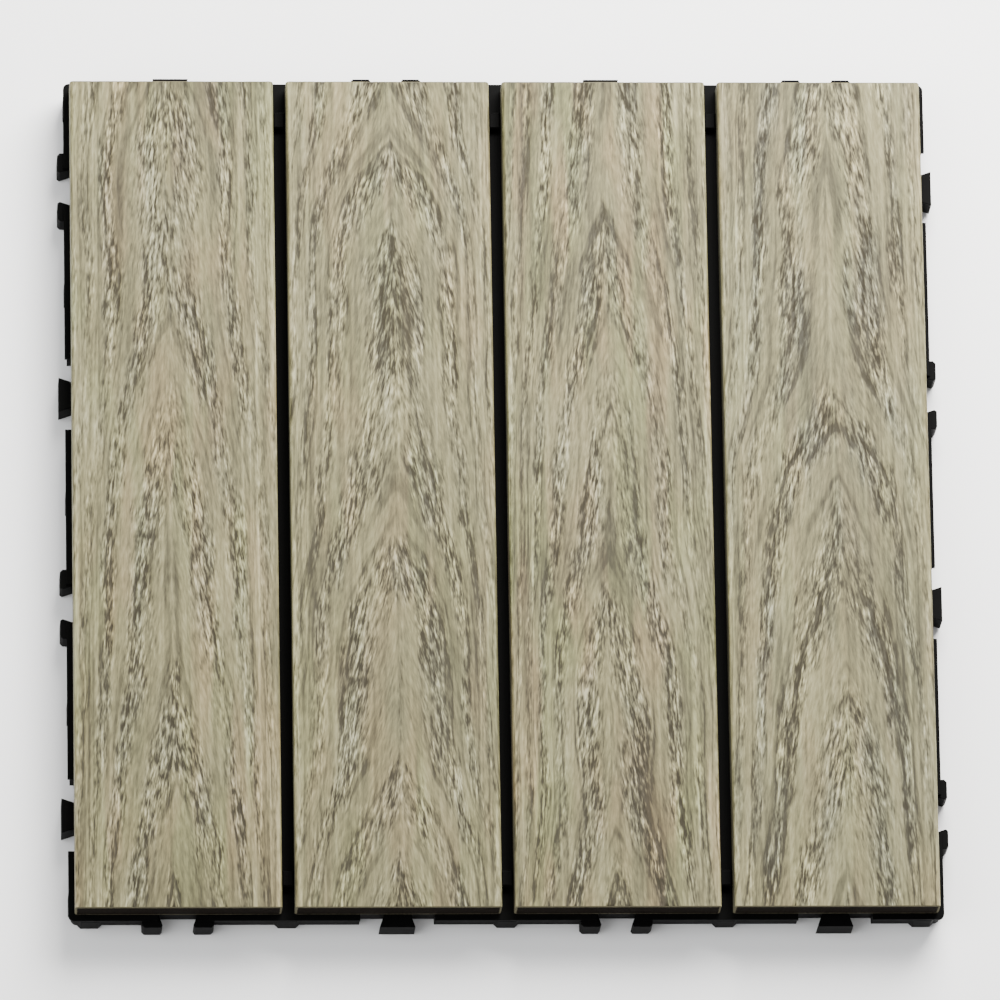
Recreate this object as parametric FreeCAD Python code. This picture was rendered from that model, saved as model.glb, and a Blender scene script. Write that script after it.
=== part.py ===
"""Interlocking deck tile: four slats screwed from below to one moulded grid base.

Millimetres, +Z up. The origin is under the middle of the tile, on the ground.
The slats run along Y. The base is the same on all four sides, turned by a quarter.
"""
import FreeCAD, Part
import math
import os
from FreeCAD import Vector

# Laying pattern
MODULE = 300.0              # distance from one laid tile to the next
SLAT_COUNT = 4
SLAT_GAP = 4.5              # open joint between two slats, also across two tiles

# Slats
SLAT_THICKNESS = 10.0
SLAT_TOP_ROUND = 1.2        # eased long edges of the walking face
SLAT_BOTTOM_CHAMFER = 0.6

# Base: frame, bands, webs and ribs
BASE_HEIGHT = 12.0          # ground to the seat of the slats
GROUND_GAP = 2.6            # ground to the lower edge of the frame and webs
RIM_JOINT = 0.15            # half the space between the rims of two laid tiles
RIM_HEIGHT = 1.5
WALL_SETBACK = 1.0          # frame wall inside the module line
WALL_THICKNESS = 2.0
CORNER_ROUND = 2.0
BAND_WIDTH = 12.0           # flat bands under the joints between slats
BAND_THICKNESS = 2.0
LEDGE_WIDTH = 4.0           # seat inside the frame wall
WEB_THICKNESS = 2.2         # deep web under each band
RIB_THICKNESS = 1.6
RIB_HEIGHT = 7.5
CELLS_PER_SLAT = 3          # cells of the lattice across one slat

# Feet
FOOT_DIAMETER = 14.5
FOOT_CHAMFER = 1.0          # at the ground
FOOT_WALL = 2.4
FOOT_ROOF = 3.0             # solid top of the hollow foot, below the seat
FOOT_SIDES = 8

# Dovetail connectors
CONNECTOR_REACH = 2.0       # past the module line
CONNECTOR_DROP = 1.0        # top of a connector below the seat
CONNECTOR_GROUND_GAP = 0.8
TONGUE_TIP_WIDTH = 12.2
TONGUE_TAPER = 0.35         # flank slope, sideways per millimetre of reach
TONGUE_WALL = 1.8           # the tongue is hollow from below
PRONG_TIP_WIDTH = 7.3
FLANK_CLEARANCE = 0.3
TIP_CLEARANCE = 1.0         # tongue tip to the back of the neighbour's pocket
POCKET_CLEARANCE = 0.5      # beside the neighbour's prongs
PRONG_TIP_CHAMFER = 0.9

# Spacer nubs that hold the joints between slats open
NUB_LENGTH = 6.0
NUB_HEIGHT = 3.0
NUB_INSET = 9.0             # slat end to the near face of the nub
NUB_CLEARANCE = 0.1
NUB_CHAMFER = 0.6

# Screws and their bosses
SCREWS_PER_SLAT = 4
SCREW_DIAMETER = 4.0
SCREW_BITE = 7.5            # length inside the slat
SCREW_POINT = 1.3           # length of the blunt point
SCREW_HEAD_DIAMETER = 7.8
SCREW_HEAD_HEIGHT = 2.4
SCREW_HEAD_CHAMFER = 0.8
DRIVE_WIDTH = 4.2           # across the cross recess
DRIVE_SLOT = 1.0
DRIVE_DEPTH = 1.4
PILOT_SPARE = 0.3           # pilot hole past the screw point
BORE_CLEARANCE = 0.15       # around the shank, in the boss
BOSS_GRIP = 4.5             # base material clamped by a screw
BOSS_WALL = 1.5
HEAD_CLEARANCE = 0.3        # around the head, in the boss
HEAD_SINK = 0.6             # head below the mouth of its boss
BOSS_SIDES = 8              # flats in place of small rounds that repeat sixteen times
SCREW_SIDES = 8

# Derived sizes
HALF = MODULE / 2
SLAT_PITCH = MODULE / SLAT_COUNT
SLAT_WIDTH = SLAT_PITCH - SLAT_GAP
SLAT_LENGTH = MODULE - SLAT_GAP
RIM_OUT = HALF - RIM_JOINT
WALL_OUT = HALF - WALL_SETBACK
WALL_IN = WALL_OUT - WALL_THICKNESS
CONNECTOR_OUT = HALF + CONNECTOR_REACH
CONNECTOR_TOP = BASE_HEIGHT - CONNECTOR_DROP
POCKET_OUT = HALF - CONNECTOR_REACH - TIP_CLEARANCE
POCKET_IN = POCKET_OUT - WALL_THICKNESS
CELL = SLAT_PITCH / CELLS_PER_SLAT
RIB_BOTTOM = BASE_HEIGHT - RIB_HEIGHT
SEAT_Z = BASE_HEIGHT - BOSS_GRIP
BOSS_BOTTOM = SEAT_Z - SCREW_HEAD_HEIGHT - HEAD_SINK
HEAD_BORE = SCREW_HEAD_DIAMETER + 2 * HEAD_CLEARANCE
BOSS_DIAMETER = HEAD_BORE + 2 * BOSS_WALL
NECK_OUT = HALF - CONNECTOR_REACH
TONGUE_NECK = TONGUE_TIP_WIDTH / 2 - TONGUE_TAPER * (CONNECTOR_OUT - NECK_OUT)
PRONG_GAP = TONGUE_NECK + FLANK_CLEARANCE
FORK_HALF = PRONG_GAP + PRONG_TIP_WIDTH


def box(x0, x1, y0, y1, z0, z1):
    """A block between two corners."""
    return Part.makeBox(x1 - x0, y1 - y0, z1 - z0, Vector(x0, y0, z0))


def prism(points, z0, z1):
    """A closed outline of (x, y) points raised from z0 to z1."""
    corners = [Vector(x, y, z0) for x, y in points]
    face = Part.Face(Part.makePolygon(corners + corners[:1]))
    return face.extrude(Vector(0, 0, z1 - z0))


def many_sided(sides, across, x, y):
    """The corners of an even-sided outline, with flats facing the axes, measured across its flats."""
    radius = across / 2 / math.cos(math.pi / sides)
    angles = [2 * math.pi * (index + 0.5) / sides for index in range(sides)]
    return [(x + radius * math.cos(angle), y + radius * math.sin(angle)) for angle in angles]


def edges_at(shape, z):
    """The edges that lie at one height."""
    return [edge for edge in shape.Edges if all(abs(vertex.Z - z) < 1e-6 for vertex in edge.Vertexes)]


def uprights(shape):
    """The edges that stand upright."""
    rises = [(edge, abs(edge.Vertexes[0].Z - edge.Vertexes[1].Z)) for edge in shape.Edges]
    return [edge for edge, rise in rises if rise > edge.Length / 2]


def turned(shape, quarter):
    """A copy turned about the middle of the tile by quarter turns."""
    copy = shape.copy()
    copy.rotate(Vector(0, 0, 0), Vector(0, 0, 1), 90 * quarter)
    return copy


def rounded_square(out, radius, z0, z1):
    """A square block with rounded upright edges, centred on the tile."""
    block = box(-out, out, -out, out, z0, z1)
    return block.makeFillet(radius, uprights(block))


def square_ring(out, inner, radius, z0, z1):
    """A square ring with rounded outer corners."""
    return rounded_square(out, radius, z0, z1).cut(box(-inner, inner, -inner, inner, z0, z1))


def slat_centres():
    """The X place of each slat's centre line."""
    return [SLAT_PITCH * (index + 0.5) - HALF for index in range(SLAT_COUNT)]


def joint_lines():
    """Where the bands run: the joints between slats."""
    return [SLAT_PITCH * index - HALF for index in range(1, SLAT_COUNT)]


def rib_lines():
    """Where the fine ribs run, between the bands."""
    lines = []
    for index in range(1, SLAT_COUNT * CELLS_PER_SLAT):
        if index % CELLS_PER_SLAT:
            lines.append(CELL * index - HALF)
    return lines


def screw_rows():
    """The Y place of each row of screws."""
    return [MODULE * (index + 0.5) / SCREWS_PER_SLAT - HALF for index in range(SCREWS_PER_SLAT)]


def bars(lines, width, z0, z1):
    """Straight bars along both directions, from wall to wall."""
    end = (WALL_IN + WALL_OUT) / 2
    made = []
    for line in lines:
        made.append(box(line - width / 2, line + width / 2, -end, end, z0, z1))
        made.append(box(-end, end, line - width / 2, line + width / 2, z0, z1))
    return made


def frame():
    """The outer wall with its rim at the top and the seat ledge inside it."""
    wall = square_ring(WALL_OUT, WALL_IN, CORNER_ROUND, GROUND_GAP, BASE_HEIGHT)
    rim = square_ring(RIM_OUT, WALL_IN, CORNER_ROUND, BASE_HEIGHT - RIM_HEIGHT, BASE_HEIGHT)
    seat_bottom = BASE_HEIGHT - BAND_THICKNESS
    ledge = square_ring(WALL_OUT, WALL_IN - LEDGE_WIDTH, CORNER_ROUND, seat_bottom, BASE_HEIGHT)
    return [wall, rim, ledge]


def lattice():
    """Bands under the joints, deep webs below them and fine ribs between them."""
    bands = bars(joint_lines(), BAND_WIDTH, BASE_HEIGHT - BAND_THICKNESS, BASE_HEIGHT)
    webs = bars(joint_lines(), WEB_THICKNESS, GROUND_GAP, BASE_HEIGHT)
    ribs = bars(rib_lines(), RIB_THICKNESS, RIB_BOTTOM, BASE_HEIGHT)
    return bands + webs + ribs


def foot_places():
    """The feet: under every crossing of the bands and along the frame."""
    edge = RIM_OUT - FOOT_DIAMETER / 2
    lines = [-edge] + joint_lines() + [edge]
    return [(x, y) for x in lines for y in lines]


def feet():
    """Eight-sided feet, chamfered at the ground."""
    made = []
    for x, y in foot_places():
        block = prism(many_sided(FOOT_SIDES, FOOT_DIAMETER, x, y), 0, BASE_HEIGHT - BAND_THICKNESS)
        made.append(block.makeChamfer(FOOT_CHAMFER, edges_at(block, 0)))
    return made


def foot_hollows():
    """The space inside each foot, open at the ground."""
    across = FOOT_DIAMETER - 2 * FOOT_WALL
    top = BASE_HEIGHT - FOOT_ROOF
    return [prism(many_sided(FOOT_SIDES, across, x, y), 0, top) for x, y in foot_places()]


def bosses():
    """A boss with four short ribs at each screw."""
    reach = CELL / 2
    half = RIB_THICKNESS / 2
    made = []
    for x in slat_centres():
        for y in screw_rows():
            made.append(prism(many_sided(BOSS_SIDES, BOSS_DIAMETER, x, y), BOSS_BOTTOM, BASE_HEIGHT))
            made.append(box(x - reach, x + reach, y - half, y + half, RIB_BOTTOM, BASE_HEIGHT))
            made.append(box(x - half, x + half, y - reach, y + reach, RIB_BOTTOM, BASE_HEIGHT))
    return made


def boss_bores():
    """The stepped hole through each boss: head below, shank above."""
    made = []
    shank = SCREW_DIAMETER + 2 * BORE_CLEARANCE
    for x in slat_centres():
        for y in screw_rows():
            made.append(prism(many_sided(SCREW_SIDES, HEAD_BORE, x, y), BOSS_BOTTOM, SEAT_Z))
            made.append(prism(many_sided(SCREW_SIDES, shank, x, y), SEAT_Z, BASE_HEIGHT))
    return made


def nubs():
    """Spacer nubs in the joints between slats, near both ends."""
    half = SLAT_GAP / 2 - NUB_CLEARANCE
    root = BASE_HEIGHT - BAND_THICKNESS
    top = BASE_HEIGHT + NUB_HEIGHT
    outer = SLAT_LENGTH / 2 - NUB_INSET
    made = []
    for line in joint_lines():
        for side in (-1, 1):
            near = min(side * outer, side * (outer - NUB_LENGTH))
            nub = box(line - half, line + half, near, near + NUB_LENGTH, root, top)
            made.append(nub.makeChamfer(NUB_CHAMFER, edges_at(nub, top)))
    return made


def dovetail(centre, near, far, wall):
    """A tongue's outline between two distances from the tile's middle, less a wall at its flanks."""
    near_half = TONGUE_TIP_WIDTH / 2 - TONGUE_TAPER * (CONNECTOR_OUT - near) - wall
    far_half = TONGUE_TIP_WIDTH / 2 - TONGUE_TAPER * (CONNECTOR_OUT - far) - wall
    return [(centre - near_half, -near), (centre - far_half, -far),
            (centre + far_half, -far), (centre + near_half, -near)]


def tongue(centre):
    """A dovetail tongue on the front side, wider at its tip and hollow from below."""
    root = (POCKET_IN + POCKET_OUT) / 2
    outline = dovetail(centre, root, CONNECTOR_OUT, 0)
    body = prism(outline, CONNECTOR_GROUND_GAP, CONNECTOR_TOP)
    inner = dovetail(centre, POCKET_OUT, CONNECTOR_OUT - TONGUE_WALL, TONGUE_WALL)
    return body.cut(prism(inner, CONNECTOR_GROUND_GAP, CONNECTOR_TOP - TONGUE_WALL))


def prong(centre, side):
    """One prong of a fork on the front side, with a flank that matches the tongue."""
    root_gap = PRONG_GAP + TONGUE_TAPER * (CONNECTOR_OUT - POCKET_OUT)
    outline = [(centre + side * FORK_HALF, -POCKET_OUT), (centre + side * FORK_HALF, -CONNECTOR_OUT),
               (centre + side * PRONG_GAP, -CONNECTOR_OUT), (centre + side * root_gap, -POCKET_OUT)]
    body = prism(outline, CONNECTOR_GROUND_GAP, CONNECTOR_TOP)
    middle = -(CONNECTOR_OUT + POCKET_OUT) / 2
    tips = [edge for edge in uprights(body) if edge.Vertexes[0].Y < middle]
    return body.makeChamfer(PRONG_TIP_CHAMFER, tips)


def connectors():
    """The tongues and forks of all four sides, with the pockets cut for the neighbour's."""
    tongue_pocket = FORK_HALF + POCKET_CLEARANCE
    fork_pocket = PRONG_GAP + TONGUE_TAPER * (CONNECTOR_OUT - POCKET_OUT)
    added, backing, pockets = [], [], []
    for index, centre in enumerate(slat_centres()):
        if index % 2:
            half = tongue_pocket
            parts = [tongue(centre)]
        else:
            half = fork_pocket
            parts = [prong(centre, -1), prong(centre, 1)]
        wide = half + WALL_THICKNESS
        back = box(centre - wide, centre + wide, -WALL_OUT, -POCKET_IN, GROUND_GAP, BASE_HEIGHT)
        pocket = box(centre - half, centre + half, -CONNECTOR_OUT, -POCKET_OUT, 0, BASE_HEIGHT)
        for quarter in range(4):
            added += [turned(part, quarter) for part in parts]
            backing.append(turned(back, quarter))
            pockets.append(turned(pocket, quarter))
    return added, backing, pockets


def in_quarter(shapes):
    """Those of the shapes that reach into the front left quarter of the tile."""
    return [shape for shape in shapes if shape.BoundBox.XMin < 0 and shape.BoundBox.YMin < 0]


def base_grid():
    """The whole moulded base as one solid: a quarter of it, turned four times, and the nubs."""
    added, backing, pockets = connectors()
    body = in_quarter(frame() + lattice() + backing + bosses() + feet())
    grid = body[0].multiFuse(body[1:])
    grid = grid.cut(Part.makeCompound(in_quarter(pockets + boss_bores() + foot_hollows())))
    grid = grid.multiFuse(in_quarter(added))
    quarter = grid.common(box(-MODULE, 0, -MODULE, 0, 0, MODULE)).removeSplitter()
    return quarter.multiFuse([turned(quarter, turn) for turn in (1, 2, 3)] + nubs())


def long_edges(board, z):
    """The edges at one height that run the length of a slat."""
    return [edge for edge in edges_at(board, z) if edge.Length > (SLAT_LENGTH + SLAT_WIDTH) / 2]


def slat(centre):
    """One slat: a bar with eased long edges, sawn ends and blind pilot holes."""
    x0, x1 = centre - SLAT_WIDTH / 2, centre + SLAT_WIDTH / 2
    z0, z1 = BASE_HEIGHT, BASE_HEIGHT + SLAT_THICKNESS
    board = box(x0, x1, -SLAT_LENGTH / 2, SLAT_LENGTH / 2, z0, z1)
    board = board.makeFillet(SLAT_TOP_ROUND, long_edges(board, z1))
    board = board.makeChamfer(SLAT_BOTTOM_CHAMFER, long_edges(board, z0))
    outlines = [many_sided(SCREW_SIDES, SCREW_DIAMETER, centre, y) for y in screw_rows()]
    holes = [prism(outline, z0, z0 + SCREW_BITE + PILOT_SPARE) for outline in outlines]
    return board.cut(Part.makeCompound(holes))


def screw(x, y):
    """One pan head screw, driven up from below, with a cross recess and a blunt point."""
    bottom = SEAT_Z - SCREW_HEAD_HEIGHT
    tip = BASE_HEIGHT + SCREW_BITE
    head = prism(many_sided(SCREW_SIDES, SCREW_HEAD_DIAMETER, x, y), bottom, SEAT_Z)
    head = head.makeChamfer(SCREW_HEAD_CHAMFER, edges_at(head, bottom))
    shank = prism(many_sided(SCREW_SIDES, SCREW_DIAMETER, x, y), SEAT_Z, tip)
    shank = shank.makeChamfer(SCREW_POINT, edges_at(shank, tip))
    arm, slot = DRIVE_WIDTH / 2, DRIVE_SLOT / 2
    recess = box(x - arm, x + arm, y - slot, y + slot, bottom, bottom + DRIVE_DEPTH)
    recess = recess.fuse(box(x - slot, x + slot, y - arm, y + arm, bottom, bottom + DRIVE_DEPTH))
    return head.fuse(shank).cut(recess).removeSplitter()


def save(name, shape):
    """Write one node, and stop if it is not sound."""
    if not shape.isValid():
        raise ValueError(name + " is not a valid shape")
    shape.exportStep("parts/" + name + ".step")


os.makedirs("parts", exist_ok=True)
save("base_grid", base_grid())
for number, line in enumerate(slat_centres(), start=1):
    save("slat_%d" % number, slat(line))
    save("slat_%d_screws" % number, Part.makeCompound([screw(line, row) for row in screw_rows()]))
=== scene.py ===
"""Looks of the square deck tile: four embossed slats with sawn ends, their screws and the
moulded base grid, then the floor, the light and the camera. Lengths are in metres, except
where a name ends in _MM or a comment says millimetres."""

import math

import bmesh
import bpy
from mathutils import Matrix, Vector


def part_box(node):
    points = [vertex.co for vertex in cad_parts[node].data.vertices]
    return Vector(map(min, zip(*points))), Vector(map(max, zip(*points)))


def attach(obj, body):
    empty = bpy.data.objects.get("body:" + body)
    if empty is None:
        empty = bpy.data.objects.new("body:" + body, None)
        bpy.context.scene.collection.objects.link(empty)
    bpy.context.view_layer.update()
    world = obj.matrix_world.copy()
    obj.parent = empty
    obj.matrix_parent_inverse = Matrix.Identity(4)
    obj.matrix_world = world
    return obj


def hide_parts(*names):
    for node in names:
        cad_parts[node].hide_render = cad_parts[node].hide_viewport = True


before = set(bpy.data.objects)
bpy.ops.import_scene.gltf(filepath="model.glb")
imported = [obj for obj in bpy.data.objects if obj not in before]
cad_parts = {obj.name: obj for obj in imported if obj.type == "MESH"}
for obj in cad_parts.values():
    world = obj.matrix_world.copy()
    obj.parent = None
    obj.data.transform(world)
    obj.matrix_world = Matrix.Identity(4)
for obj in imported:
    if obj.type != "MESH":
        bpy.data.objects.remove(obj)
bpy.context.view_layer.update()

MM = 0.001


def srgb(red, green, blue):
    """A screen colour of 0 to 255 as the linear colour that shaders use."""
    def linear(level):
        part = level / 255
        return part / 12.92 if part <= 0.04045 else ((part + 0.055) / 1.055) ** 2.4
    return (linear(red), linear(green), linear(blue), 1.0)


# Slats: the section of the extruded board and how finely its mesh is cut.
TOP_ROUND = 1.2 * MM
BOTTOM_CHAMFER = 0.6 * MM
SAWN_BREAK = 0.3 * MM
ROUND_STEPS = 6
TOP_COLUMNS = 206
SIDE_ROWS = 3
BOTTOM_COLUMNS = 6
STATION_PITCH = 1.4 * MM
SAWN_FACING = 0.3
SLAT_CREASE = 40

# Grain, in millimetres on the walking face. A board is cut from the log so that the heart
# lies below it and sinks away along Y, which draws the rings out into nested arches.
RING_PITCH_MM = 13.0
LEG_WIDTH_MM = 42.0
SWAY_MM = 12.0
WOBBLE_MM = 2.8
ROLL_MM = 19.0
LEAN_EASE_MM = 2.0
STRETCH_MM = 14.0
STRETCH_SWAY = 2
MARK_WIDTH_MM = 0.8
MARK_LENGTH_MM = 5.0
LINE_PITCH_MM = 1.9
LINE_LENGTH_MM = 45.0
LINE_RIPPLE_MM = 1.2

# The noises of the grain: the width and length of each one's clouds in millimetres, and how
# far its layer lies from the board's pattern number.
DRIFT = (50, 140, 0.0)
RIPPLE = (3.4, 15, 2.6)
WOBBLE = (8, 26, 5.1)
FLAME = (1.5, 20, 7.7)
ROLL = (1, 68, 9.2)
SPREAD = (12, 48, 14.3)
STREAK = (1.7, 80, 38.2)
CLOUD = (24, 60, 44.5)
WARMTH = (12, 46, 51.3)
COOLNESS = (9, 40, 57.8)
WEAVE = (0.16, 1.9, 63.1)
HUE = (9, 90, 70.9)
SHEET_LAYER = 11.3
MARKS_LAYER = 21.7
LINES_LAYER = 31.8

# Late wood is the dark band of a ring. Its steps are in parts of a ring. It fades where the
# spread is low, and is calmer beside the board's long edges.
LATE_RISE = (0.08, 0.42)
LATE_FALL = (0.56, 0.9)
RIPPLE_RINGS = 0.28
FLAME_RINGS = 0.3
SPREAD_STEP = (0.32, 0.56)
FAINT_LATE = 0.35
CALM_STEP_MM = (21, 31)
CALM_SHARE = 0.6

# Pores are the marks that are deep enough to fill with dark, most of them in late wood.
PORE_STEP = (0.07, 0.185)
PORE_LINE_SHARE = 0.3
PORE_LATE_SHARE = 0.03
FAINT_PORES = 0.04
LINE_STEP = (0.02, 0.2)
FAINT_LINES = 0.45

# Relief of the walking face, which stops short of the long edges, how the grain goes on down the
# board's sides, and where the painted shade tint of the sides sets in.
PORE_DEPTH_MM = 0.19
BAND_DEPTH_MM = 0.09
LINE_DEPTH_MM = 0.08
FIBRE_DEPTH_MM = 0.04
EDGE_STEP_MM = (0.7, 2.6)
WRAP_START = 0.5 * MM
WRAP_EDGE_MM = 1.3
SIDE_SHADE_STEP_MM = (0.0, 1.5)

GRAIN_KEYS = ("Heart", "Depth", "Slope", "Blunt", "Pattern")

# Each board: how far the heart lies off its middle line and how deep, both in millimetres,
# how fast it sinks, how blunt the arches are, pattern number, shift of its lightness, and
# shares of warm streaks, of grey-blue bands and of contrast.
BOARDS = {
    "slat_1": {"Heart": 0.5, "Depth": 54.5, "Slope": 0.14, "Blunt": 0.6, "Pattern": 3.37,
               "Tone": 0.015, "Warm": 0.6, "Cool": 0.7, "Contrast": 1.0},
    "slat_2": {"Heart": 0.0, "Depth": 62.0, "Slope": 0.17, "Blunt": 0.45, "Pattern": 17.61,
               "Tone": 0.0, "Warm": 0.45, "Cool": 0.7, "Contrast": 1.05},
    "slat_3": {"Heart": 1.5, "Depth": 55.0, "Slope": 0.15, "Blunt": 0.75, "Pattern": 29.43,
               "Tone": -0.005, "Warm": 0.85, "Cool": 0.7, "Contrast": 1.2},
    "slat_4": {"Heart": 2.0, "Depth": 64.0, "Slope": 0.16, "Blunt": 0.5, "Pattern": 41.79,
               "Tone": -0.01, "Warm": 0.3, "Cool": 1.2, "Contrast": 1.3},
}

# Colours of the boards' faces, from the late wood to the palest fibre, and their tints. The side tint
# is a painted shade colour for the boards' sides.
WOOD_STOPS = ((0.0, srgb(50, 46, 30)), (0.32, srgb(82, 78, 54)), (0.5, srgb(102, 97, 68)),
              (0.72, srgb(123, 118, 87)), (1.0, srgb(150, 145, 113)))
WARM_TINT = (1.13, 0.95, 0.90, 1.0)
OLIVE_TINT = (0.93, 1.01, 0.86, 1.0)
COOL_TINT = (0.85, 0.90, 1.06, 1.0)
SIDE_SHADE_TINT = (0.94, 0.98, 1.24, 1.0)
WARM_STEP = (0.36, 0.68)
HUE_STEP = (0.42, 0.58)
COOL_STEP = (0.38, 0.62)
FAINT_COOL = 0.25
PORE_COLOUR = srgb(40, 36, 24)
PORE_SHADE = 0.75
WOOD_ROUGHNESS = 0.58
PORE_ROUGHNESS = 0.22
MARK_ROUGHNESS = 0.12

# Place on the ramp of wood colours, how much each part of the grain moves it, and a painted highlight
# that lifts it along the rounded long edges and on the underside.
TONE_MIDDLE = 0.46
STREAK_WEIGHT = 0.7
STREAK_STEP_MM = (20, 28)
CLOUD_WEIGHT = 0.4
MARK_WEIGHT = 0.7
LATE_MARK_WEIGHT = 3.3
LATE_WEIGHT = 0.12
LINE_WEIGHT = 0.5
EDGE_HIGHLIGHT_AND_UNDERSIDE_LIFT = 0.17

# Sawn ends: the core's noises across and up, in the same form as the grain's, the skin's thickness and
# the colours. The core's brown is darkened to near black with painted shade.
RAGGED = (0.8, 0.5, 3.3)
FLECK = (0.5, 0.28, 7.9)
SAW_MARKS = (0.22, 2.4, 12.4)
FLECK_RELIEF = 0.5
SKIN_STEP_MM = (0.62, 0.82)
SKIN_RAGGED_MM = 0.8
CORE_STEP = (0.44, 0.76)
CORE_AND_SHADE_COLOURS = (srgb(11, 8, 6), srgb(38, 31, 24))
SKIN_COLOUR = srgb(86, 82, 66)

# Screws: 4 x 12 mm with a pan head, a cross recess and a coarse thread.
SCREWS_PER_SLAT = 4
HEAD_PROFILE_MM = ((2.45, 0.0), (3.1, 0.16), (3.55, 0.5), (3.82, 1.0), (3.9, 1.6), (3.9, 2.25),
                   (3.75, 2.4))
HEAD_HEIGHT_MM = 2.4
RECESS_ARM_MM = 2.1
RECESS_HALF_MM = 0.5
RECESS_DEPTH_MM = 1.4
RECESS_TAPER = 0.62
THREAD_CORE_MM = 1.4
THREAD_CREST_MM = 2.0
THREAD_PITCH_MM = 1.4
THREAD_ROWS = 8
THREAD_SHARPNESS = 0.24
SHANK_MM = 12.0
POINT_MM = 2.2
TIP_RADIUS_MM = 0.12
SCREW_SIDES = 24
SCREW_CREASE = 35
TURN_SEED = 5
STEEL_STEP = (0.35, 0.68)
STEEL_COLOURS = (srgb(172, 171, 166), srgb(205, 204, 200))
STEEL_ROUGHNESS = 0.26
BLOTCH_ROUGHNESS = 0.24

# Base: its black plastic, its colours darker than the plastic itself with painted shade for the deep
# gaps and the front, and the rounding that the mould leaves on every edge.
MOULDED_EDGE = 0.35 * MM
FLOW_SHARE = 0.7
PLASTIC_STEP = (0.35, 0.75)
PLASTIC_AND_SHADE_COLOURS = (srgb(4, 4, 4), srgb(9, 9, 8))
PLASTIC_ROUGHNESS = 0.42
FLOW_ROUGHNESS = 0.22
DUST_ROUGHNESS = 0.1

# Camera, light and floor. The key light stands near the back, so the front is a little darker.
CAMERA_TILT = 16.0
CAMERA_TO_LEFT = 3.5
CAMERA_LENS_MM = 450.0
CAMERA_REACH = 50.0
SENSOR_MM = 36.0
VIEW_WIDTH = 0.345
VIEW_CENTRE = Vector((0.0, 0.0, 0.010))
KEY_LIGHT = {"place": (0.3, 0.62, 0.66), "size": 0.75, "power": 46.0, "colour": (1.0, 0.985, 0.96)}
FILL_LIGHT = {"place": (-1.7, -0.4, 2.1), "size": 2.0, "power": 50.0, "colour": (0.97, 0.985, 1.0)}
ROOM_LIGHT = 0.65
FLOOR_HALF = 5.0
FLOOR_COLOUR = (0.92, 0.92, 0.92, 1.0)


class Wire:
    """A socket of a node tree. Sums on wires add Math nodes, and add() makes any other node."""

    def __init__(self, tree, socket=None):
        self.tree = tree
        self.socket = socket

    def add(self, kind, settings=None, values=None, out=0):
        """Makes a node: its settings come first, then the values or links of its sockets."""
        made = self.tree.nodes.new(kind)
        for name, value in (settings or {}).items():
            if name == "stops":
                self.set_stops(made.color_ramp, value)
            else:
                setattr(made, name, value)
        for key, value in (values or {}).items():
            if isinstance(value, Wire):
                self.tree.links.new(value.socket, made.inputs[key])
            else:
                made.inputs[key].default_value = value
        return Wire(self.tree, made.outputs[out] if len(made.outputs) else None)

    def out(self, name):
        """Another output of the same node."""
        return Wire(self.tree, self.socket.node.outputs[name])

    @staticmethod
    def set_stops(ramp, stops):
        """Gives a colour ramp its stops, each a place and a colour."""
        while len(ramp.elements) < len(stops):
            ramp.elements.new(0.5)
        for element, (place, colour) in zip(ramp.elements, stops):
            element.position = place
            element.color = colour

    def sum(self, operation, *terms):
        """A Math node on one term or two."""
        return self.add("ShaderNodeMath", {"operation": operation}, dict(enumerate(terms)))

    def __add__(self, other):
        return self.sum("ADD", self, other)

    def __radd__(self, other):
        return self.sum("ADD", other, self)

    def __sub__(self, other):
        return self.sum("SUBTRACT", self, other)

    def __rsub__(self, other):
        return self.sum("SUBTRACT", other, self)

    def __mul__(self, other):
        return self.sum("MULTIPLY", self, other)

    def __rmul__(self, other):
        return self.sum("MULTIPLY", other, self)

    def __truediv__(self, other):
        return self.sum("DIVIDE", self, other)

    def __rtruediv__(self, other):
        return self.sum("DIVIDE", other, self)

    def __pow__(self, other):
        return self.sum("POWER", self, other)

    def __abs__(self):
        return self.sum("ABSOLUTE", self)

    def __gt__(self, other):
        return self.sum("GREATER_THAN", self, other)

    def root(self):
        return self.sum("SQRT", self)

    def fraction(self):
        return self.sum("FRACT", self)

    def least(self, other):
        return self.sum("MINIMUM", self, other)

    def most(self, other):
        return self.sum("MAXIMUM", self, other)

    def ease(self, start, end):
        """0 below start and 1 above end, with a soft step between them."""
        values = {"Value": self, "From Min": start, "From Max": end}
        return self.add("ShaderNodeMapRange", {"interpolation_type": "SMOOTHSTEP"}, values, "Result")

    def mix(self, low, high):
        """The low colour where this wire is 0, and the high one where it is 1."""
        return self.add("ShaderNodeMix", {"data_type": "RGBA"}, {0: self, 6: low, 7: high}, 2)

    def tint(self, colour, filter_colour):
        """A colour seen through a coloured film."""
        settings = {"data_type": "RGBA", "blend_type": "MULTIPLY"}
        return self.add("ShaderNodeMix", settings, {0: 1.0, 6: colour, 7: filter_colour}, 2)

    def noise(self, x, y, z, detail=0.0, roughness=0.5):
        """Cloud noise of about 0.2 to 0.8 at a spot that is already in units of its grain."""
        spot = self.add("ShaderNodeCombineXYZ", {}, {"X": x, "Y": y, "Z": z})
        values = {"Vector": spot, "Scale": 1.0, "Detail": detail, "Roughness": roughness}
        return self.add("ShaderNodeTexNoise", {"noise_dimensions": "3D"}, values)

    def cloud(self, x, y, kind, pattern, detail=0.0, roughness=0.5):
        """One of the named noises at x, y in mm: kind is its width, its length and its layer."""
        wide, long, layer = kind
        return self.noise(x / wide, y / long, pattern + layer, detail, roughness)


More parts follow.
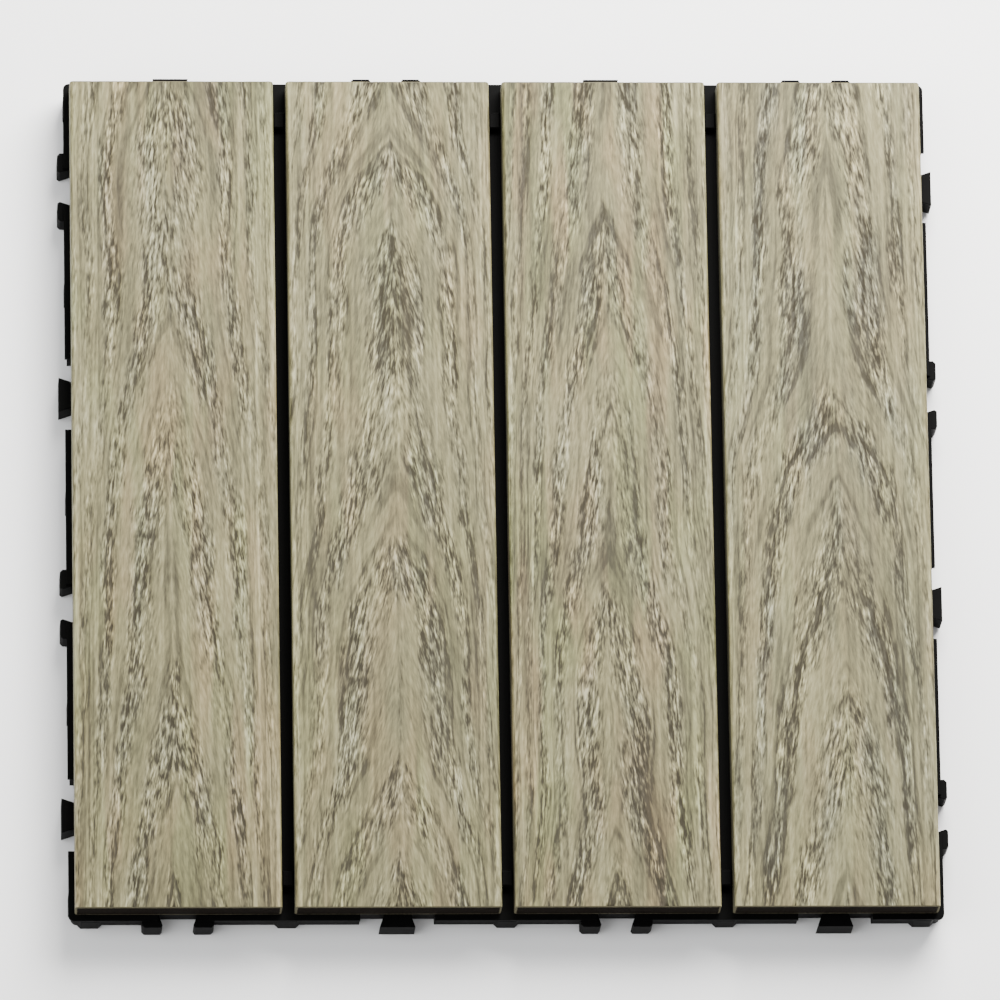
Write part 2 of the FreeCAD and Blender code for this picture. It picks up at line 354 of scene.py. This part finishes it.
def grain(net, x, y, heart, depth, slope, blunt, pattern):
    """The grain at x, y in mm from the board's middle line: pores, late wood, ring lines, marks
    and streaks. The relief and the colour both come from it, so they always agree."""
    drift = net.cloud(x, y, DRIFT, pattern) - 0.5
    wobble = net.cloud(x, y, WOBBLE, pattern) - 0.5
    side = x - heart + SWAY_MM * drift + WOBBLE_MM * wobble
    across = abs(side)
    leg = blunt * across + across ** 3 / LEG_WIDTH_MM ** 2
    roll = net.cloud(0.5, y, ROLL, pattern) - 0.5
    below = depth + slope * y + ROLL_MM * roll
    radius = leg + below
    ripple = net.cloud(x, y, RIPPLE, pattern) - 0.5
    flame = net.cloud(x, y, FLAME, pattern) - 0.5
    phase = (radius / RING_PITCH_MM + RIPPLE_RINGS * ripple + FLAME_RINGS * flame).fraction()
    late = phase.ease(*LATE_RISE) * (1 - phase.ease(*LATE_FALL))
    spread = net.cloud(x, y, SPREAD, pattern, 1.0).ease(*SPREAD_STEP)
    calm = 1 - CALM_SHARE * abs(x).ease(*CALM_STEP_MM)
    late = late * (FAINT_LATE + (1 - FAINT_LATE) * spread) * calm
    steepness = blunt + 3 * across ** 2 / LEG_WIDTH_MM ** 2
    lean = (slope / steepness) * side / (across + LEAN_EASE_MM)
    marks = strokes(net, x, y, lean, drift, pattern + MARKS_LAYER)
    rings = (radius + LINE_RIPPLE_MM * ripple) / LINE_PITCH_MM
    seam = net.noise(rings, y / LINE_LENGTH_MM, pattern + LINES_LAYER, 1.0) - 0.5
    pores = (marks + PORE_LINE_SHARE * seam + PORE_LATE_SHARE * late).ease(*PORE_STEP)
    pores = pores * (FAINT_PORES + (1 - FAINT_PORES) * late)
    lines = seam.ease(*LINE_STEP) * (FAINT_LINES + (1 - FAINT_LINES) * late)
    streak = net.cloud(x, y, STREAK, pattern, 2.0, 0.62)
    return pores, late, lines, marks, streak


def strokes(net, x, y, lean, drift, pattern):
    """Short marks that lie along the rings, from about -0.3 to 0.3. Two sheets of them are
    leaned over stretch by stretch, and each fades out where its stretches meet."""
    marks, weight = 0, 0
    for sheet in range(2):
        along = (y / STRETCH_MM + STRETCH_SWAY * drift + sheet / 2).fraction() - 0.5
        place = x + lean * (STRETCH_MM * along)
        layer = pattern + SHEET_LAYER * sheet
        noise = net.noise(place / MARK_WIDTH_MM, y / MARK_LENGTH_MM, layer, 2.0, 0.6) - 0.5
        fade = 1 - 2 * abs(along)
        marks = fade * noise + marks
        weight = fade ** 2 + weight
    return marks / weight.root()


def new_material(name):
    """An empty material, its tree, and the spot on the piece in metres."""
    made = bpy.data.materials.new(name)
    made.use_nodes = True
    made.node_tree.nodes.clear()
    net = Wire(made.node_tree)
    return made, net, net.add("ShaderNodeTexCoord", {}, {}, "Object")


def finish(net, values):
    """Ends a material's tree with its shader and its output."""
    shader = net.add("ShaderNodeBsdfPrincipled", {}, values, "BSDF")
    net.add("ShaderNodeOutputMaterial", {}, {"Surface": shader})


def board_material(name, board, low, high):
    """The embossed face of one board: grey-beige with dark pores, pale flecks that are painted
    highlights on the relief, and soft streaks.
    """
    made, net, spot = new_material(name)
    place = net.add("ShaderNodeSeparateXYZ", {}, {"Vector": spot})
    across = (place - (low.x + high.x) / 2) / MM
    half_width = (high.x - low.x) / 2 / MM
    drop = ((high.z - WRAP_START - place.out("Z")) / MM).most(0.0)
    on_side = abs(across) > half_width - WRAP_EDGE_MM
    x = across + across / abs(across) * drop * on_side
    y = place.out("Y") / MM
    pattern, contrast = board["Pattern"], board["Contrast"]
    pores, late, lines, marks, streak = grain(net, x, y, *[board[key] for key in GRAIN_KEYS])
    upper = place.out("Z") > (low.z + high.z) / 2
    inside = (half_width - abs(across)).ease(*EDGE_STEP_MM) * upper
    stripes = (streak - 0.5) * (STREAK_WEIGHT + STREAK_WEIGHT * abs(x).ease(*STREAK_STEP_MM))
    clouds = (net.cloud(x, y, CLOUD, pattern, 1.0) - 0.5) * (CLOUD_WEIGHT * contrast)
    tone = TONE_MIDDLE + board["Tone"] + stripes + clouds
    # The marks darken the tone as dark strokes of grain and lighten it as pale flecks, which are
    # painted highlights on the pressed relief.
    tone = tone - marks * (MARK_WEIGHT + LATE_MARK_WEIGHT * late) - late * (LATE_WEIGHT * contrast)
    # Painted highlight: the tone is lifted along the rounded long edges, where light catches the
    # round, and on the underside as well.
    tone = tone - lines * (LINE_WEIGHT * contrast) + (1 - inside) * EDGE_HIGHLIGHT_AND_UNDERSIDE_LIFT
    wood = net.add("ShaderNodeValToRGB", {"stops": WOOD_STOPS}, {"Fac": tone}, "Color")
    warmth = net.cloud(x, y, WARMTH, pattern, 1.0).ease(*WARM_STEP) * board["Warm"]
    hue = net.cloud(x, y, HUE, pattern, 1.0).ease(*HUE_STEP).mix(OLIVE_TINT, WARM_TINT)
    wood = warmth.mix(wood, net.tint(wood, hue))
    coolness = net.cloud(x, y, COOLNESS, pattern, 1.0).ease(*COOL_STEP)
    coolness = coolness * (FAINT_COOL + (1 - FAINT_COOL) * late) * board["Cool"]
    wood = coolness.mix(wood, net.tint(wood, COOL_TINT))
    # Painted shade: a cool tint on the boards' sides, standing in for how their weaker light looks.
    wood = (on_side * drop.ease(*SIDE_SHADE_STEP_MM)).mix(wood, net.tint(wood, SIDE_SHADE_TINT))
    wood = (pores * inside * (PORE_SHADE * contrast)).mix(wood, PORE_COLOUR)
    weave = net.cloud(x, y, WEAVE, pattern, 1.0)
    bump = net.add("ShaderNodeBump", {}, {"Strength": 0.35, "Distance": 0.06 * MM, "Height": weave})
    roughness = WOOD_ROUGHNESS + PORE_ROUGHNESS * pores + MARK_ROUGHNESS * marks
    finish(net, {"Base Color": wood, "Roughness": roughness, "Normal": bump,
                 "Specular IOR Level": 0.22})
    return made


def core_material(half_width, pitch, low, high):
    """The sawn end: a thin skin of the face's colour round a dark brown core of wood fibre, painted
    darker, near black, as painted shade.
    """
    made, net, spot = new_material("sawn_core")
    place = net.add("ShaderNodeSeparateXYZ", {}, {"Vector": spot})
    height = place.out("Z")
    x, z = place / MM, height / MM
    along = (place / pitch).fraction() - 0.5
    from_side = half_width / MM - abs(along) * (pitch / MM)
    from_face = ((high - height) / MM).least((height - low) / MM)
    ragged = net.cloud(x, z, RAGGED, 0.0, 2.0) - 0.5
    skin = 1 - (from_side.least(from_face) + SKIN_RAGGED_MM * ragged).ease(*SKIN_STEP_MM)
    fleck = net.cloud(x, z, FLECK, 0.0, 2.0)
    # Painted shade: the core's colours are darker than its own brown, near black.
    core = fleck.ease(*CORE_STEP).mix(*CORE_AND_SHADE_COLOURS)
    colour = skin.mix(core, SKIN_COLOUR)
    saw = net.cloud(x, z, SAW_MARKS, 0.0, 1.0) + FLECK_RELIEF * fleck
    bump = net.add("ShaderNodeBump", {}, {"Strength": 0.7, "Distance": 0.15 * MM, "Height": saw})
    finish(net, {"Base Color": colour, "Roughness": 0.9, "Normal": bump,
                 "Specular IOR Level": 0.04})
    return made


def plastic_material():
    """Black moulded plastic, darkened past its own black with painted shade: an even spark-eroded
    texture, a little dust and faint flow marks.
    """
    made, net, spot = new_material("moulded_plastic")
    noise = "ShaderNodeTexNoise"
    flow = net.add(noise, {}, {"Vector": spot, "Scale": 28.0, "Detail": 3.0, "Roughness": 0.55})
    pits = net.add(noise, {}, {"Vector": spot, "Scale": 2600.0, "Detail": 1.0})
    dust = net.add(noise, {}, {"Vector": spot, "Scale": 420.0, "Detail": 4.0, "Roughness": 0.7})
    blend = FLOW_SHARE * flow + (1 - FLOW_SHARE) * dust
    # Painted shade: near-black colours, darker than the plastic's own black, for the shade in the gaps
    # and along the front.
    colour = blend.ease(*PLASTIC_STEP).mix(*PLASTIC_AND_SHADE_COLOURS)
    roughness = PLASTIC_ROUGHNESS + FLOW_ROUGHNESS * flow + DUST_ROUGHNESS * dust
    edge = net.add("ShaderNodeBevel", {"samples": 6}, {"Radius": MOULDED_EDGE})
    relief = {"Strength": 0.35, "Distance": 0.05 * MM, "Height": pits, "Normal": edge}
    bump = net.add("ShaderNodeBump", {}, relief)
    finish(net, {"Base Color": colour, "Roughness": roughness, "Normal": bump,
                 "Specular IOR Level": 0.035})
    return made


def steel_material():
    """Zinc-plated steel: bright, slightly blotched, with fine marks from rolling."""
    made, net, spot = new_material("plated_steel")
    blotch = net.add("ShaderNodeTexNoise", {}, {"Vector": spot, "Scale": 900.0, "Detail": 3.0})
    mark = net.add("ShaderNodeTexNoise", {}, {"Vector": spot, "Scale": 5200.0, "Detail": 1.0})
    colour = blotch.ease(*STEEL_STEP).mix(*STEEL_COLOURS)
    roughness = STEEL_ROUGHNESS + BLOTCH_ROUGHNESS * blotch
    bump = net.add("ShaderNodeBump", {}, {"Strength": 0.15, "Distance": 0.02 * MM, "Height": mark})
    finish(net, {"Base Color": colour, "Metallic": 1.0, "Roughness": roughness, "Normal": bump})
    return made


def floor_material():
    """The plain pale floor."""
    made, net, _ = new_material("pale_floor")
    finish(net, {"Base Color": FLOOR_COLOUR, "Roughness": 0.9, "Specular IOR Level": 0.1})
    return made


def mesh_object(name, points, faces):
    """A new object in the scene from points and faces."""
    mesh = bpy.data.meshes.new(name)
    mesh.from_pydata(points, [], faces)
    made = bpy.data.objects.new(name, mesh)
    bpy.context.scene.collection.objects.link(made)
    return made


def new_tree(name, inputs):
    """An empty geometry tree with a geometry socket each way and its named inputs."""
    tree = bpy.data.node_groups.new(name, "GeometryNodeTree")
    tree.interface.new_socket("Geometry", in_out="INPUT", socket_type="NodeSocketGeometry")
    for label, kind in inputs.items():
        tree.interface.new_socket(label, in_out="INPUT", socket_type=kind)
    tree.interface.new_socket("Geometry", in_out="OUTPUT", socket_type="NodeSocketGeometry")
    net = Wire(tree)
    return tree, net.add("NodeGroupInput", {}, {}, "Geometry")


def grown(piece, tree, values):
    """Runs a geometry tree on a piece and keeps the result as its plain mesh."""
    modifier = piece.modifiers.new("growth", "NODES")
    modifier.node_group = tree
    for item in tree.interface.items_tree:
        if item.in_out == "INPUT" and item.name in values:
            modifier[item.identifier] = values[item.name]
    graph = bpy.context.evaluated_depsgraph_get()
    blank = piece.data
    piece_mesh = bpy.data.meshes.new_from_object(piece.evaluated_get(graph), depsgraph=graph)
    piece.modifiers.clear()
    piece.data = piece_mesh
    bpy.data.meshes.remove(blank)
    return piece


def smooth(piece, angle):
    """Shades a piece smooth, with a sharp edge wherever its faces meet at more than an angle."""
    for face in piece.data.polygons:
        face.use_smooth = True
    piece.data.set_sharp_from_angle(angle=math.radians(angle))


def section(half_width, low, high):
    """The board's section from the left end of its top round, over the top and round the foot."""
    left, right = -half_width + TOP_ROUND, half_width - TOP_ROUND
    points = [(left + (right - left) * i / TOP_COLUMNS, high) for i in range(TOP_COLUMNS + 1)]
    turn = [math.pi / 2 * i / ROUND_STEPS for i in range(1, ROUND_STEPS + 1)]
    side_top, side_foot = high - TOP_ROUND, low + BOTTOM_CHAMFER
    points += [(right + TOP_ROUND * math.sin(a), side_top + TOP_ROUND * math.cos(a)) for a in turn]
    rows = [side_top + (side_foot - side_top) * i / SIDE_ROWS for i in range(1, SIDE_ROWS + 1)]
    points += [(half_width, z) for z in rows]
    foot = half_width - BOTTOM_CHAMFER
    points += [(foot - 2 * foot * i / BOTTOM_COLUMNS, low) for i in range(BOTTOM_COLUMNS + 1)]
    points += [(-half_width, z) for z in reversed(rows)]
    turn.reverse()
    points += [(left - TOP_ROUND * math.sin(a), side_top + TOP_ROUND * math.cos(a)) for a in turn]
    return points


def slat_blank(name, low, high):
    """A plain board in its place: section after section along Y, with broken sawn edges."""
    centre, middle = (low.x + high.x) / 2, (low.z + high.z) / 2
    half_width, half_height = (high.x - low.x) / 2, (high.z - low.z) / 2
    half_length = (high.y - low.y) / 2
    outline = section(half_width, low.z, high.z)
    shrink_x, shrink_z = 1 - SAWN_BREAK / half_width, 1 - SAWN_BREAK / half_height
    broken = [(x * shrink_x, middle + (z - middle) * shrink_z) for x, z in outline]
    run = half_length - SAWN_BREAK
    count = round(2 * run / STATION_PITCH)
    stations = [(-half_length, broken)]
    stations += [(-run + 2 * run * i / count, outline) for i in range(count + 1)]
    stations += [(half_length, broken)]
    points = [(centre + x, y, z) for y, ring in stations for x, z in ring]
    size = len(outline)
    faces = []
    for row in range(len(stations) - 1):
        for i in range(size):
            after = (i + 1) % size
            near, far = row * size, (row + 1) * size
            faces.append((near + i, near + after, far + after, far + i))
    faces.append(tuple(range(size - 1, -1, -1)))
    faces.append(tuple(range(len(points) - size, len(points))))
    return mesh_object(name, points, faces)


def emboss_tree():
    """Presses the grain into a board's walking face and gives its faces their finishes."""
    inputs = dict.fromkeys(("Middle line", "Half width", "Mid height") + GRAIN_KEYS, "NodeSocketFloat")
    inputs.update({"Face": "NodeSocketMaterial", "Core": "NodeSocketMaterial"})
    tree, board = new_tree("emboss_board", inputs)
    spot = board.add("GeometryNodeInputPosition")
    place = board.add("ShaderNodeSeparateXYZ", {}, {"Vector": spot})
    x = (place - board.out("Middle line")) / MM
    y = place.out("Y") / MM
    pores, late, lines, marks, _ = grain(board, x, y, *[board.out(key) for key in GRAIN_KEYS])
    inside = (board.out("Half width") / MM - abs(x)).ease(*EDGE_STEP_MM)
    upper = place.out("Z") > board.out("Mid height")
    press = PORE_DEPTH_MM * pores + BAND_DEPTH_MM * late + LINE_DEPTH_MM * lines
    press = (press + FIBRE_DEPTH_MM * (marks + 0.5)) * inside * upper
    offset = board.add("ShaderNodeCombineXYZ", {}, {"Z": press * -MM})
    pressed = board.add("GeometryNodeSetPosition", {}, {"Geometry": board, "Offset": offset})
    face_values = {"Geometry": pressed, "Material": board.out("Face")}
    faced = board.add("GeometryNodeSetMaterial", {}, face_values)
    normal = board.add("ShaderNodeSeparateXYZ", {}, {"Vector": board.add("GeometryNodeInputNormal")})
    sawn = abs(normal.out("Y")) > SAWN_FACING
    core_values = {"Geometry": faced, "Selection": sawn, "Material": board.out("Core")}
    ended = board.add("GeometryNodeSetMaterial", {}, core_values)
    solid = board.add("GeometryNodeRealizeInstances", {}, {"Geometry": ended})
    board.add("NodeGroupOutput", {}, {"Geometry": solid})
    return tree


def make_slats():
    """The four embossed boards, each in place of its CAD solid."""
    tree = emboss_tree()
    low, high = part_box("slat_1")
    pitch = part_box("slat_2")[0].x - low.x
    core = core_material((high.x - low.x) / 2, pitch, low.z, high.z)
    for node, board in BOARDS.items():
        low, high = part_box(node)
        face = board_material("embossed_" + node, board, low, high)
        piece = slat_blank("embossed_" + node, low, high)
        values = {"Middle line": (low.x + high.x) / 2, "Half width": (high.x - low.x) / 2,
                  "Mid height": (low.z + high.z) / 2, "Face": face, "Core": core}
        values.update({key: board[key] for key in GRAIN_KEYS})
        grown(piece, tree, values)
        smooth(piece, SLAT_CREASE)
        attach(piece, "root")
        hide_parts(node)


def ring_of(mesh, radius, z):
    """A ring of points round Z, in millimetres."""
    turns = [math.tau * i / SCREW_SIDES for i in range(SCREW_SIDES)]
    return [mesh.verts.new((radius * math.cos(a), radius * math.sin(a), z)) for a in turns]


def bridge(mesh, lower, upper):
    """The band of faces between two rings of as many points."""
    for i in range(len(lower)):
        after = (i + 1) % len(lower)
        mesh.faces.new((lower[i], lower[after], upper[after], upper[i]))


def cross(mesh, arm, half, z):
    """The twelve corners of a cross recess at a height."""
    quarter = [(arm, -half), (arm, half), (half, half)]
    points = []
    for turn in range(4):
        for x, y in quarter:
            for _ in range(turn):
                x, y = -y, x
            points.append(mesh.verts.new((x, y, z)))
    return points


def loop_edges(mesh, points):
    """The edges that join a ring of points."""
    found = []
    for i, point in enumerate(points):
        pair = (point, points[(i + 1) % len(points)])
        found.append(mesh.edges.get(pair) or mesh.edges.new(pair))
    return found


def screw_mesh():
    """One screw with its drive side at z = 0 and its point up, built in mm and scaled to metres."""
    mesh = bmesh.new()
    rings = [ring_of(mesh, radius, z) for radius, z in HEAD_PROFILE_MM]
    mouth = cross(mesh, RECESS_ARM_MM, RECESS_HALF_MM, 0.0)
    floor = cross(mesh, RECESS_ARM_MM * RECESS_TAPER, RECESS_HALF_MM * RECESS_TAPER, RECESS_DEPTH_MM)
    bridge(mesh, mouth, floor)
    mesh.faces.new(floor)
    rims = loop_edges(mesh, rings[0]) + loop_edges(mesh, mouth)
    bmesh.ops.triangle_fill(mesh, use_beauty=True, edges=rims)
    rows = round(SHANK_MM / THREAD_PITCH_MM * THREAD_ROWS)
    for row in range(rows + 1):
        along = SHANK_MM * row / rows
        ring = []
        for i in range(SCREW_SIDES):
            turn = i / SCREW_SIDES
            part = (along / THREAD_PITCH_MM - turn) % 1.0
            ridge = max(0.0, 1 - abs(part - 0.5) / THREAD_SHARPNESS)
            run_in = min(1.0, along / THREAD_PITCH_MM)
            taper = min(1.0, (SHANK_MM - along) / POINT_MM)
            radius = THREAD_CORE_MM + (THREAD_CREST_MM - THREAD_CORE_MM) * ridge * run_in
            radius = TIP_RADIUS_MM + (radius - TIP_RADIUS_MM) * taper
            angle = math.tau * turn
            spot = (radius * math.cos(angle), radius * math.sin(angle), HEAD_HEIGHT_MM + along)
            ring.append(mesh.verts.new(spot))
        rings.append(ring)
    for lower, upper in zip(rings, rings[1:]):
        bridge(mesh, lower, upper)
    mesh.faces.new(rings[-1])
    bmesh.ops.scale(mesh, vec=(MM, MM, MM), verts=mesh.verts)
    bmesh.ops.recalc_face_normals(mesh, faces=mesh.faces)
    made = bpy.data.meshes.new("screw")
    mesh.to_mesh(made)
    mesh.free()
    return made


def screw_tree():
    """Sets one screw at each place of a row along Y, each with its own turn."""
    inputs = {"Start": "NodeSocketVector", "Step": "NodeSocketVector", "Count": "NodeSocketInt",
              "Seed": "NodeSocketInt", "Finish": "NodeSocketMaterial"}
    tree, screw = new_tree("screw_row", inputs)
    row_values = {"Count": screw.out("Count"), "Start Location": screw.out("Start"),
                  "Offset": screw.out("Step")}
    row = screw.add("GeometryNodeMeshLine", {}, row_values)
    turn = screw.add("FunctionNodeRandomValue", {"data_type": "FLOAT"}, {"Seed": screw.out("Seed")}, 1)
    spin = screw.add("ShaderNodeCombineXYZ", {}, {"Z": math.tau * turn})
    sown_values = {"Points": row, "Instance": screw, "Rotation": spin}
    sown = screw.add("GeometryNodeInstanceOnPoints", {}, sown_values)
    solid = screw.add("GeometryNodeRealizeInstances", {}, {"Geometry": sown})
    plated_values = {"Geometry": solid, "Material": screw.out("Finish")}
    plated = screw.add("GeometryNodeSetMaterial", {}, plated_values)
    screw.add("NodeGroupOutput", {}, {"Geometry": plated})
    return tree


def make_screws():
    """The screws of each slat as one piece."""
    tree = screw_tree()
    steel = steel_material()
    for number, slat in enumerate(BOARDS):
        node = slat + "_screws"
        low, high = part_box(node)
        reach = (high.x - low.x) / 2
        start = Vector(((low.x + high.x) / 2, low.y + reach, low.z))
        step = Vector((0.0, (high.y - low.y - 2 * reach) / (SCREWS_PER_SLAT - 1), 0.0))
        piece = bpy.data.objects.new("cross_screws_" + slat, screw_mesh())
        bpy.context.scene.collection.objects.link(piece)
        values = {"Start": start, "Step": step, "Count": SCREWS_PER_SLAT,
                  "Seed": TURN_SEED + number, "Finish": steel}
        grown(piece, tree, values)
        smooth(piece, SCREW_CREASE)
        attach(piece, "root")
        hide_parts(node)


def make_base():
    """The moulded grid keeps its CAD shape and gets its plastic."""
    plastic = plastic_material()
    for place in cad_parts["base_grid"].material_slots:
        place.material = plastic


def area_light(name, place, size, power, colour):
    """A square soft box that faces the middle of the tile."""
    light = bpy.data.lights.new(name, "AREA")
    light.shape = "SQUARE"
    light.size = size
    light.energy = power
    light.color = colour
    made = bpy.data.objects.new(name, light)
    made.location = place
    made.rotation_euler = (-Vector(place)).to_track_quat("-Z", "Y").to_euler()
    bpy.context.scene.collection.objects.link(made)


def make_studio():
    """The floor, the soft boxes, the pale surroundings and the camera."""
    corners = [(x * FLOOR_HALF, y * FLOOR_HALF, 0) for x, y in ((-1, -1), (1, -1), (1, 1), (-1, 1))]
    floor = mesh_object("floor", corners, [(0, 1, 2, 3)])
    floor.data.materials.append(floor_material())
    area_light("key", **KEY_LIGHT)
    area_light("fill", **FILL_LIGHT)
    world = bpy.data.worlds.new("pale_room")
    world.use_nodes = True
    room = world.node_tree.nodes["Background"]
    room.inputs["Color"].default_value = (1.0, 1.0, 1.0, 1.0)
    room.inputs["Strength"].default_value = ROOM_LIGHT
    bpy.context.scene.world = world
    lens = bpy.data.cameras.new("camera")
    lens.lens = CAMERA_LENS_MM
    lens.sensor_width = SENSOR_MM
    lens.clip_end = CAMERA_REACH
    camera = bpy.data.objects.new("camera", lens)
    to_left = math.tan(math.radians(CAMERA_TO_LEFT))
    to_front = math.tan(math.radians(CAMERA_TILT))
    back = Vector((-to_left, -to_front, 1.0)).normalized()
    level = (Vector((1.0, 0.0, 0.0)) - back * back.x).normalized()
    turn = Matrix((level, back.cross(level), back)).transposed()
    place = VIEW_CENTRE + back * (VIEW_WIDTH * CAMERA_LENS_MM / SENSOR_MM)
    camera.matrix_world = Matrix.Translation(place) @ turn.to_4x4()
    bpy.context.scene.collection.objects.link(camera)
    bpy.context.scene.camera = camera


make_studio()
make_slats()
make_screws()
make_base()

bpy.context.view_layer.update()
